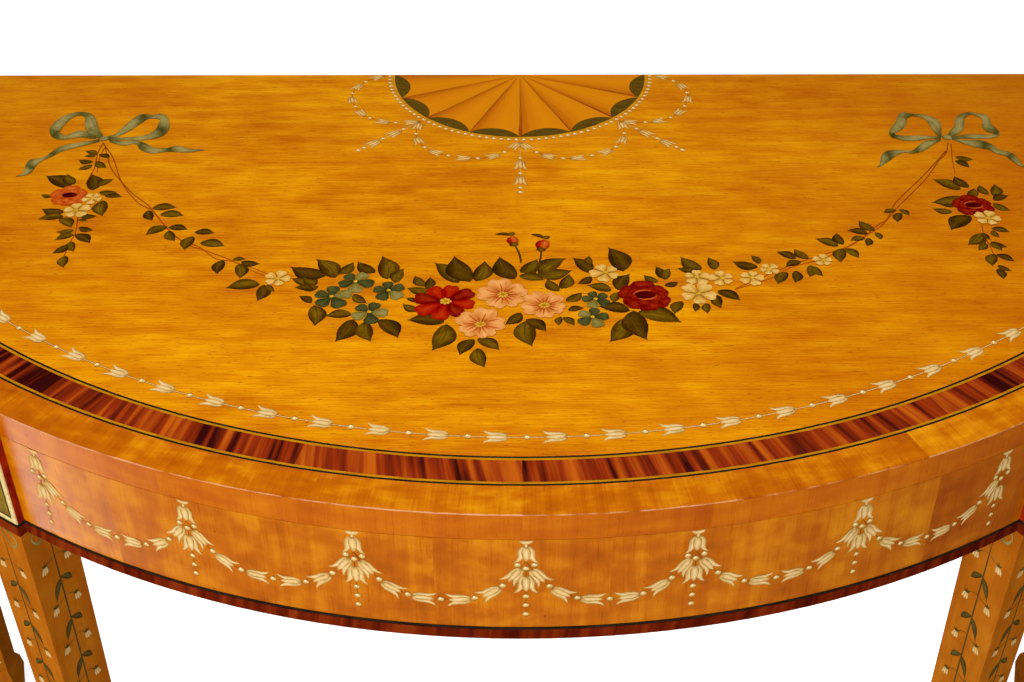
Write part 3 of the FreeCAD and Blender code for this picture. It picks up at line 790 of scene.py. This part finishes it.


# Ribbon-tied garland of the top, in pixels of the photograph that were read
# Leaves: the pixel of the root, then of the tip
garland_leaf_pixels = [
    (335.5, 278, 316, 259), (326, 276, 298.5, 267), (339, 274.5, 353.5, 262), (375, 273, 357.5, 261.5),
    (387, 279.5, 382, 256), (395, 283, 404, 268.5), (317, 284.5, 303.5, 277.5),
    (318.5, 286.5, 300, 289.5), (311.5, 303, 298.5, 296), (314, 305.5, 314, 326.5),
    (352, 314.5, 324.5, 316.5), (353, 319.5, 334.5, 342), (364.5, 322, 371, 342),
    (379.5, 319.5, 398, 338.5), (353.5, 294.5, 367.5, 303.5), (425, 286.5, 415, 275.5),
    (427, 289, 430, 277), (430, 291, 406.5, 288), (416.5, 302, 405.5, 298.5), (419, 311, 402.5, 304),
    (458.5, 283, 434, 263), (470, 282, 454.5, 256), (476, 281.5, 484.5, 261),
    (514.5, 279.5, 499.5, 256.5), (520.5, 273, 537.5, 259), (519, 276, 545, 280.5),
    (444.5, 322, 406.5, 320.5), (447.5, 324.5, 431.5, 351), (474, 339.5, 459.5, 355.5),
    (477.5, 339, 499.5, 350.5), (477.5, 348.5, 485, 368), (521, 313, 504.5, 325), (526, 321, 532.5, 347),
    (526, 319.5, 546.5, 332), (536.5, 274.5, 572.5, 270.5), (538.5, 273.5, 566, 258.5),
    (590.5, 273, 572.5, 258), (590.5, 265, 589, 256), (623, 271.5, 608, 247.5), (559, 291.5, 547, 279),
    (561, 289, 569, 274), (591.5, 277, 577, 284.5), (611.5, 291, 586.5, 285.5), (618, 290.5, 630, 274),
    (618.5, 292.5, 614, 303.5), (658, 282.5, 643.5, 275), (661.5, 278.5, 655.5, 266.5),
    (664.5, 280, 670, 268.5), (664.5, 286, 678.5, 282), (701.5, 270, 680.5, 257),
    (714.5, 270, 707.5, 257.5), (697.5, 270, 677, 268.5), (566, 301.5, 582, 292.5),
    (568, 310.5, 584.5, 308.5), (560.5, 317, 559, 326), (563, 317.5, 574.5, 326), (630, 311, 598, 307),
    (627, 318.5, 609.5, 342.5), (633, 311, 647.5, 340.5), (638, 312, 682, 323),
    (682, 301.5, 674.5, 314.5), (717.5, 291, 740, 300.5), (714.5, 296.5, 722, 308),
    (695, 303.5, 695, 312), (707.5, 303.5, 708, 314),
]
left_spray_leaf_pixels = [
    (97, 155, 85, 151), (99, 154.5, 110, 158.5), (96, 156.5, 83.5, 156.5), (93, 162.5, 78.5, 160),
    (96.5, 161.5, 107, 168), (92.5, 165, 77, 169.5), (70, 187.5, 45, 176), (74.5, 184.5, 67.5, 174),
    (92.5, 190.5, 91.5, 174), (97, 186.5, 114.5, 179), (99, 192.5, 118, 192), (105, 196, 122, 197),
    (103, 200.5, 102.5, 216.5), (64, 212.5, 41.5, 209), (63.5, 216.5, 37.5, 219.5), (60, 218, 71.5, 228),
    (80, 216, 97.5, 216), (78, 220, 87, 221.5), (79, 227.5, 94, 230.5), (74, 230.5, 56, 232),
    (74, 234.5, 54.5, 240.5), (75.5, 234.5, 90, 243.5), (70.5, 241.5, 74, 252), (68, 245, 51.5, 254),
    (65.5, 256, 63.5, 268), (50.5, 196, 41, 194.5), (51.5, 197, 43, 198.5), (152, 208.5, 177, 208),
    (148.5, 210.5, 152.5, 221), (160, 214.5, 184, 216), (167.5, 226.5, 145, 235.5),
    (168.5, 227.5, 188, 230), (168.5, 231, 175, 241.5), (194.5, 232.5, 215, 233.5),
    (193, 236.5, 184.5, 250.5), (200, 243, 225, 246.5), (223, 260.5, 217, 274.5),
    (232.5, 260, 246, 259.5), (241, 262, 260.5, 264), (239, 264, 239.5, 279), (260, 284.5, 225, 288.5),
    (264, 285, 257, 301.5), (267.5, 285, 274.5, 292), (325, 276.5, 290.5, 267),
    (306, 285.5, 291.5, 278.5), (316, 285, 303.5, 277.5), (313.5, 289, 294, 288),
]
right_spray_leaf_pixels = [
    (955, 157, 974, 159.5), (955, 160.5, 969.5, 168), (960.5, 190, 932, 179.5), (968.5, 188, 954, 176),
    (968.5, 197.5, 974, 188), (963.5, 197.5, 931, 202.5), (953.5, 207, 940.5, 205),
    (952.5, 212, 932, 208.5), (970.5, 216, 951, 230.5), (988, 195, 979, 185), (994.5, 196.5, 994, 184),
    (993.5, 200.5, 1009, 195.5), (993, 203.5, 1011.5, 211), (991.5, 228.5, 1010.5, 232.5),
    (992.5, 230.5, 999.5, 238), (982.5, 233.5, 967.5, 245), (983, 233, 991, 240),
    (985, 242.5, 978, 250.5), (990.5, 242, 1008, 247.5), (989.5, 243.5, 1002.5, 251),
    (994.5, 254, 992.5, 266.5), (996.5, 254.5, 1014.5, 262), (997.5, 265.5, 1012, 271),
    (997.5, 269, 1003.5, 279.5), (896, 210, 883.5, 213.5), (899.5, 209.5, 909.5, 216),
    (900.5, 213, 897.5, 222.5), (874.5, 231, 858.5, 220.5), (868, 234, 847, 230.5),
    (875.5, 232.5, 881, 240), (865.5, 238, 850, 241), (868.5, 238, 866.5, 246.5),
    (838.5, 246.5, 814.5, 239), (842.5, 245, 836.5, 233), (842.5, 248.5, 841, 263),
    (845, 248.5, 859, 258.5), (796, 259, 776, 252), (808.5, 259, 794, 249), (801, 261.5, 785.5, 267),
    (810.5, 265.5, 809.5, 277.5), (813, 266.5, 823.5, 276.5), (796, 271, 795, 283),
    (787, 272.5, 778, 284.5), (758, 267.5, 732, 261.5), (759.5, 264, 750.5, 255.5),
    (718.5, 291, 740.5, 301), (717.5, 295.5, 720.5, 308.5),
]
# Ribbons: the pixel of each point, then the ribbon's width there in pixels
ribbon_pixels = [
    [(103, 139, 3), (93, 130, 12.4), (90, 120, 11), (85, 115, 4.6), (75, 115, 4), (64, 120.5, 7.5),
     (55, 130, 10.3), (57, 135.5, 8.3), (66, 138, 4), (80, 134.5, 7), (96, 138, 3)],
    [(103, 139, 2.5), (116, 136, 3), (128, 128, 7.5), (141, 119, 8), (151, 117, 3.3), (162.5, 118, 7),
     (164, 126, 11.6), (159, 133, 9.6), (146, 138, 4.6), (126, 139.5, 3), (108, 139, 2.5)],
    [(99.5, 141, 2.5), (80, 145, 4), (61, 149.5, 5), (50, 156, 3.6), (41.5, 160, 3), (32, 164.5, 9),
     (28, 171, 7.5), (23, 175, 2.3), (16, 177, 0.5)],
    [(109.5, 141, 2.5), (123, 144, 4), (136, 143, 3), (143, 147, 8), (153, 151, 6), (166, 150.5, 3.6),
     (177, 149.5, 6), (189, 151, 3.6), (204, 150.5, 0.5)],
    [(940.5, 137.5, 2), (938, 132, 7), (935, 125, 10.5), (927, 118.5, 5), (918.5, 116, 2.8),
     (910, 115.5, 3), (903, 117.5, 10), (900, 125, 10), (893.5, 130.5, 7), (891.5, 135, 4.5),
     (897.5, 137.5, 4), (907, 139, 4.7), (918.5, 138.5, 4.7), (931, 138, 2.6), (940.5, 138, 2)],
    [(947, 137.5, 2), (953, 133, 7), (959, 128, 9), (959.5, 121.5, 9.5), (963, 116.5, 6),
     (970, 114, 2.5), (978, 115.5, 3), (985.5, 119.5, 7), (987, 127, 9), (995, 131.5, 5.5),
     (997.5, 135, 3.5), (990, 137, 3.5), (977, 137, 4.4), (964.5, 137, 3.6), (952, 138, 1.6)],
    [(940.5, 140, 1.6), (933, 142.5, 4.7), (925, 146, 8), (918.5, 150, 6), (912, 152.5, 2.6),
     (904, 152, 2.3), (895, 153.5, 6), (887, 157, 10), (883, 162, 6.5), (880.5, 165.5, 2.3),
     (877, 167.5, 0.5)],
    [(952, 139, 1.6), (960.5, 141.5, 3), (971, 143.5, 6), (981, 145, 7.5), (990, 147.5, 6),
     (997, 152, 4.7), (1005.5, 154, 4.7), (1012, 157.5, 6.5), (1017, 162, 5), (1020.5, 165.5, 2.3),
     (1025, 167.5, 0.5)],
]
# Cords and knots: the pixels of their points
cord_pixels = [
    [(103, 143), (113, 158), (122, 183), (138, 203), (153, 211), (167.5, 229), (186, 244), (209, 252),
     (230.5, 260), (244, 267), (260, 274), (280, 280)],
    [(105, 146), (110, 166), (119, 179), (133, 194), (149, 206), (159, 219), (179, 239), (199, 247),
     (216, 259), (232, 261.5), (260, 271), (280, 279)],
    [(103, 143), (98, 153), (94.5, 168), (90, 176), (86, 184)],
    [(104.5, 148), (99.5, 158), (97, 173)],
    [(78, 217.5), (75.5, 232.5), (71, 241), (64, 256)],
    [(948, 143), (946, 153), (937.5, 162.5), (925, 180), (898, 207), (882, 225.5), (869.5, 233.5),
     (849, 246), (824, 258.5), (791, 267.5), (772, 278), (735, 289.5)],
    [(946, 151), (923, 176), (896, 202.5), (887, 219), (877.5, 225.5), (854, 244), (832, 252),
     (800, 262), (765, 276), (735, 289)],
    [(951, 144), (952.5, 161), (955, 173.5)],
    [(982, 225.5), (984, 235.5), (991, 248), (993.5, 254.5)],
]
knot_pixels = [(104, 139), (947, 138)]
# Flowers: the pixel of the middle, then the radius in millimetres
red_flower_pixels = (446, 302, 24)
crimson_rose_pixels = [(645.5, 297.5, 20), (974, 207, 17)]
orange_rose_pixels = [(69, 197, 16)]
pink_pixels = [(544.5, 306, 18), (503, 295.5, 20), (480.5, 325, 19.5)]
blue_pixels = [
    (331.5, 297, 15), (355.5, 282, 14), (388.5, 291, 13), (369, 312.5, 14), (595.5, 299.5, 11),
    (592.5, 317.5, 12.5),
]
cream_pixels = [
    (277.5, 279.5, 10.5), (605.5, 273.5, 12), (696.5, 278, 10.5), (698, 294.5, 14.5), (722, 279, 10),
    (751.5, 278.5, 10), (769, 270, 8), (823, 261, 8), (92.5, 199, 8.5), (76, 211, 11.5), (988, 219, 11),
]
# Buds: the pixels of the root and of the tip, then the radius in millimetres
bud_pixels = [(521, 264, 512.5, 241, 4.6), (533, 276, 542.5, 245, 5.6)]
CORD_WIDTH_PIXELS = 1.1
RIBBON_PARTS = 3
LEAF_WIDTH_SHARE = 0.53
# Leaves lie over each other by this many coats, and bows and flowers lie over them all
LEAF_STEP = 0.13
OVER_LEAVES = 12


def leaf_strokes(leaf_pixels):
    """Leaves from root to tip, each with a midrib, some dark, bent a little to the side by turns."""
    for i, (u0, v0, u1, v1) in enumerate(leaf_pixels):
        root, tip = seen_at(u0, v0), seen_at(u1, v1)
        width = (tip - root).length * LEAF_WIDTH_SHARE
        bend = 0.1 * (-1 if i % 2 else 1)
        coat = DARK_LEAF if i % 5 in (1, 3) else LEAF
        level = 1 + LEAF_STEP * i
        coat.stroke(on_top(level), petal(root, tip, width, bend, 0.44, 0.8, 0.8), 12)
        STEM.stroke(on_top(level + LEAF_STEP * 0.5), petal(root, tip, 0.8, bend, 0.3, 0.3), 6, 1)


def bows():
    """The two ribbon bows, the cords that hang from them and their knots."""
    for i, points in enumerate(ribbon_pixels):
        at = curve_through(points)
        for part in range(RIBBON_PARTS):
            start = part / RIBBON_PARTS
            shape = band(lambda share, start=start: at(start + share / RIBBON_PARTS), None)
            RIBBON.stroke(on_seen_top(OVER_LEAVES + 3 + 0.4 * i + 0.1 * part), shape, 16)
    for i, points in enumerate(cord_pixels):
        CORD.stroke(on_seen_top(0.08 * i), band(curve_through(points), CORD_WIDTH_PIXELS), 40, 1)
    for place in knot_pixels:
        RIBBON.stroke(on_top(OVER_LEAVES + 7), disc(seen_at(*place), 4.2, 0.9), 6)


def bud(root, tip, radius):
    """A closed bud on a stem: a dark red side, a paler side, a cup of sepals and a leaf over it."""
    way = (tip - root).normalized()
    right = Vector((-way.y, way.x))
    DARK_LEAF.stroke(on_top(OVER_LEAVES + 2), petal(root, tip - way * radius, 1.5, 0.05, 0.2, 0.2), 8)
    low, high = tip - way * radius * 1.2, tip + way * radius * 1.1
    RED_PETAL.stroke(on_top(OVER_LEAVES + 4), petal(low, high, radius * 1.9, 0, 0.5, 0.5), 8)
    side = right * radius * 0.28
    paler = petal(low + side, high + side, radius * 1.3, 0, 0.5, 0.5)
    ROSE_PETAL.stroke(on_top(OVER_LEAVES + 4.5), paler, 8)
    LEAF.stroke(on_top(OVER_LEAVES + 5), petal(low - way * 2.5, low + way * 3, 7, 0, 0.5, 0.6), 6)
    over = high + way * 2.5
    long_leaf = petal(over, over - right * 11 + way * 3, 3.6, 0.1, 0.4, 0.8)
    DARK_LEAF.stroke(on_top(OVER_LEAVES + 5), long_leaf, 6)
    short_leaf = petal(over - right * 2, over + right * 4 + way * 2, 4.2, 0, 0.5, 0.6)
    LEAF.stroke(on_top(OVER_LEAVES + 5.3), short_leaf, 6)


def rose_flowers():
    """The red flower, the roses, the pinks with their veins, and the two buds."""
    u, v, radius = red_flower_pixels
    petal_coats = [RED_PETAL, CRIMSON_PETAL, RED_PETAL]
    flower(petal_coats, on_top, seen_at(u, v), radius, 8, 12, OVER_LEAVES, 1.06, 0.06)
    flower([EYE], on_top, seen_at(u, v), 4.4, 7, 0, OVER_LEAVES + 6, 0.9)
    for coat, places in ((CRIMSON_PETAL, crimson_rose_pixels), (ROSE_PETAL, orange_rose_pixels)):
        for u, v, radius in places:
            rose(coat, on_top, seen_at(u, v), radius, OVER_LEAVES)
    for i, (u, v, radius) in enumerate(pink_pixels):
        centre = seen_at(u, v)
        turn = 18 + 25 * i
        level = OVER_LEAVES + 4 + 2 * i
        flower([PINK_PETAL], on_top, centre, radius, 5, turn, level, 1.02, 0.14)
        for vein in range(15):
            way = turned(turn + 24 * vein + 4 * math.sin(7 * vein))
            tip = centre + way * (radius * (0.58 + 0.14 * math.sin(3 * vein)))
            line = petal(centre + way * 3, tip, 1.1, 0.04 * math.sin(5 * vein), 0.3, 0.7)
            ROSE_PETAL.stroke(on_top(level + 2), line, 5)
        flower([EYE], on_top, centre, 4.0, 8, 0, OVER_LEAVES + 11, 0.8)
    for root_u, root_v, tip_u, tip_v, radius in bud_pixels:
        bud(seen_at(root_u, root_v), seen_at(tip_u, tip_v), radius)


def small_flowers():
    """The blue-green flowers and the cream ones, each with a yellow eye."""
    for i, (u, v, radius) in enumerate(blue_pixels):
        petal_coats = [TEAL_PETAL, BLUE_PETAL] if i % 2 else [TEAL_PETAL, TEAL_PETAL, BLUE_PETAL]
        level = OVER_LEAVES + 2 * (i % 3)
        flower(petal_coats, on_top, seen_at(u, v), radius, 5, 200 + 31 * i, level, 0.9, 0.05)
        EYE.stroke(on_top(OVER_LEAVES + 7.5), disc(seen_at(u, v), 1.6), 4)
    for i, (u, v, radius) in enumerate(cream_pixels):
        level = OVER_LEAVES + 9 + 2 * (i % 3)
        flower([CREAM_PETAL], on_top, seen_at(u, v), radius, 5, 29 * i, level, 0.88, 0.1)
        EYE.stroke(on_top(OVER_LEAVES + 16), disc(seen_at(u, v), 1.8), 4)


def garland():
    """Leaves first, then bows and flowers over them."""
    for leaf_pixels in (garland_leaf_pixels, left_spray_leaf_pixels, right_spray_leaf_pixels):
        leaf_strokes(leaf_pixels)
    bows()
    rose_flowers()
    small_flowers()


# Leaf trails on the faces of the legs
LEAF_PITCH = 42.5
TRAIL_LENGTH = 640.0


def leg_bell(surface_of, top, side):
    """A hanging bell flower of three lobes under a crown of three thin sepals."""
    for i, lean in enumerate((-1.3, 1.3, 0.0)):
        root = top + Vector((lean * 0.6, 0))
        tip = top + Vector((side * 1.2 + lean * 1.7, 8.2 - abs(lean) * 0.5))
        HUSK.stroke(surface_of(1.2 + 0.3 * i), petal(root, tip, 2.7, 0, 0.5, 0.7), 4)
        sepal_tip = top + Vector((lean * 2.1, abs(lean) - 3.4))
        sepal = petal(top + Vector((0, 1.2)), sepal_tip, 1.5, 0, 0.35, 0.6)
        LEG_LEAF.stroke(surface_of(2.2 + 0.2 * i), sepal, 3, 1)


def leg_trail(axis, facing, hand):
    """A ribbon loop at the apron, a stem down the face, and leaf pairs with bell flowers between them."""
    def surface_of(coat):
        def put(across, drop):
            return on_leg(axis, facing, coat)(hand * across, drop)
        return put
    LEG_LEAF.stroke(surface_of(0), petal((0, 0), (0, TRAIL_LENGTH), 1.3, 0, 0.3, 0.2), 12)
    for side in (-1, 1):
        loop = [(1, 0, 1.0), (9, 3, 2.2), (14, 10, 1.2), (10, 17, 2.6), (4, 13, 1.4), (1, 0, 1.0)]
        line = curve_through([(side * x, drop, width) for x, drop, width in loop])
        RIBBON.stroke(surface_of(1 + 0.2 * side), band(line, None), 16, 1)
    for i in range(-1, int(TRAIL_LENGTH / LEAF_PITCH)):
        drop = 59 + i * LEAF_PITCH
        spread = 1 - 0.25 * i * LEAF_PITCH / TRAIL_LENGTH
        if drop > 30:
            short_tip, long_tip = (-9.5 * spread, drop + 9), (8.0 * spread, drop + 21)
            LEG_LEAF.stroke(surface_of(1), petal((0, drop), short_tip, 5.4, 0.1, 0.52, 0.75, 0.5), 6)
            LEG_LEAF.stroke(surface_of(1.4), petal((0, drop + 1), long_tip, 5.0, -0.05, 0.36, 0.9, 0.8), 6)
        for side, below in ((-1, 24.5), (1, 24.0)):
            top = Vector((side * 9.5 * spread, drop + below))
            LEG_LEAF.stroke(surface_of(0.4), petal((0, top.y - 5), top, 0.6, 0.1, 0.3, 0.2), 3, 1)
            leg_bell(surface_of, top, side)


# Middles of the legs by the angle that their outer face has
front_reach = BOW_RADIUS + LEG_BLOCK_PROJECTION - LEG_SIZE / 2
front_turn = math.radians(FRONT_LEG_ANGLE)
front_x, front_y = math.sin(front_turn) * front_reach, BOW_CENTRE_Y - math.cos(front_turn) * front_reach
rear_x, rear_y = REAR_LEG_END - LEG_SIZE / 2, BACK_Y - LEG_SIZE / 2
leg_places = {
    -90: (-rear_x, rear_y),
    -FRONT_LEG_ANGLE: (-front_x, front_y),
    FRONT_LEG_ANGLE: (front_x, front_y),
    90: (rear_x, rear_y),
}

bow_chain()
fan_ornament()
garland()
for drops in SWAG_DROPS:
    frieze_swags(drops)
for facing, axis in leg_places.items():
    for turn in (-90, 0, 90):
        leg_trail(axis, facing + turn, -1 if turn + (90 if facing > 0 else 0) > 0 else 1)
for coat in coats:
    coat.finish()


# Stage: a pale floor that keeps the shadow, and soft light from the left, the front and above

def floor():
    """A pale floor that keeps the shadow and turns plain white away from the table."""
    material, node = new_material("pale_studio_floor")
    tone = blots(node, surface_place(node), (900, 900, 900))
    colour = node("ValToRGB", (tone,), stops=((0.0, "#F2F1EF"), (1.0, "#F8F7F6")))
    angle, radius, z = polar_place(node, 0.0)
    share = node("MapRange", (radius, 1500.0, 5000.0, 0.85, 1.0))
    strength = node("Math", (node("LightPath", output="Is Camera Ray"), share), operation="MULTIPLY")
    glow = node("Emission", {"Color": linear("#FFFFFF"), "Strength": strength})
    lit = node("BsdfDiffuse", {"Color": colour})
    node("OutputMaterial", (node("AddShader", (lit, glow)),), None)
    mesh = bmesh.new()
    bmesh.ops.create_grid(mesh, x_segments=8, y_segments=8, size=9.0)
    bmesh.ops.translate(mesh, verts=mesh.verts, vec=(0, 0, -0.0005))
    data = bpy.data.meshes.new("floor")
    mesh.to_mesh(data)
    mesh.free()
    data.materials.append(material)
    item = bpy.data.objects.new("floor", data)
    bpy.context.scene.collection.objects.link(item)
    item.visible_glossy = False


def soft_light(name, place, aim, size, power):
    """A wide lamp aimed at a point, with its size in metres and its power in watts."""
    data = bpy.data.lights.new(name, "AREA")
    data.shape = "RECTANGLE"
    data.size, data.size_y = size
    data.energy = power
    item = bpy.data.objects.new(name, data)
    item.location = place
    item.rotation_euler = (Vector(aim) - Vector(place)).to_track_quat("-Z", "Y").to_euler()
    bpy.context.scene.collection.objects.link(item)


def world():
    """White to the camera; to the table a dim room whose pale left wall gives the polish its sheen."""
    made = bpy.data.worlds.new("studio")
    made.use_nodes = True
    made.node_tree.nodes.clear()
    node = partial(add_node, made.node_tree)
    x, y, z = node("SeparateXYZ", (node("TexCoord", output="Generated"),), None)
    back_left = node("Math", (y, x), operation="SUBTRACT")
    side = node("MapRange", (back_left, 0.3, 0.8))
    low = node("MapRange", (z, 0.1, -0.3))
    wall = node("Math", (side, low), operation="MULTIPLY")
    wall = node("Math", (wall, 6.5, 0.05), operation="MULTIPLY_ADD")
    seen = node("LightPath", output="Is Camera Ray")
    strength = node("Mix", {"Factor": seen, "A": wall, "B": 1.0})
    background = node("Background", {"Color": linear("#FFFFFF"), "Strength": strength})
    node("OutputWorld", (background,), None)
    bpy.context.scene.world = made


def camera():
    """The photograph's view."""
    data = bpy.data.cameras.new("photo_camera")
    data.sensor_fit = "HORIZONTAL"
    data.sensor_width = 36.0
    data.lens = FOCAL_PIXELS / IMAGE_WIDTH * data.sensor_width
    item = bpy.data.objects.new("photo_camera", data)
    item.matrix_world = Matrix.Translation(CAMERA_PLACE * MM) @ camera_turn.to_4x4()
    bpy.context.scene.collection.objects.link(item)
    bpy.context.scene.camera = item


floor()
world()
camera()
soft_light("key_light", (-0.7, -2.3, 2.2), (0, 0, 0.75), (1.8, 1.4), 94)
soft_light("top_light", (0.0, -0.1, 2.5), (0, 0, 0.8), (1.2, 1.0), 22)
bpy.context.scene.view_settings.view_transform = "Standard"
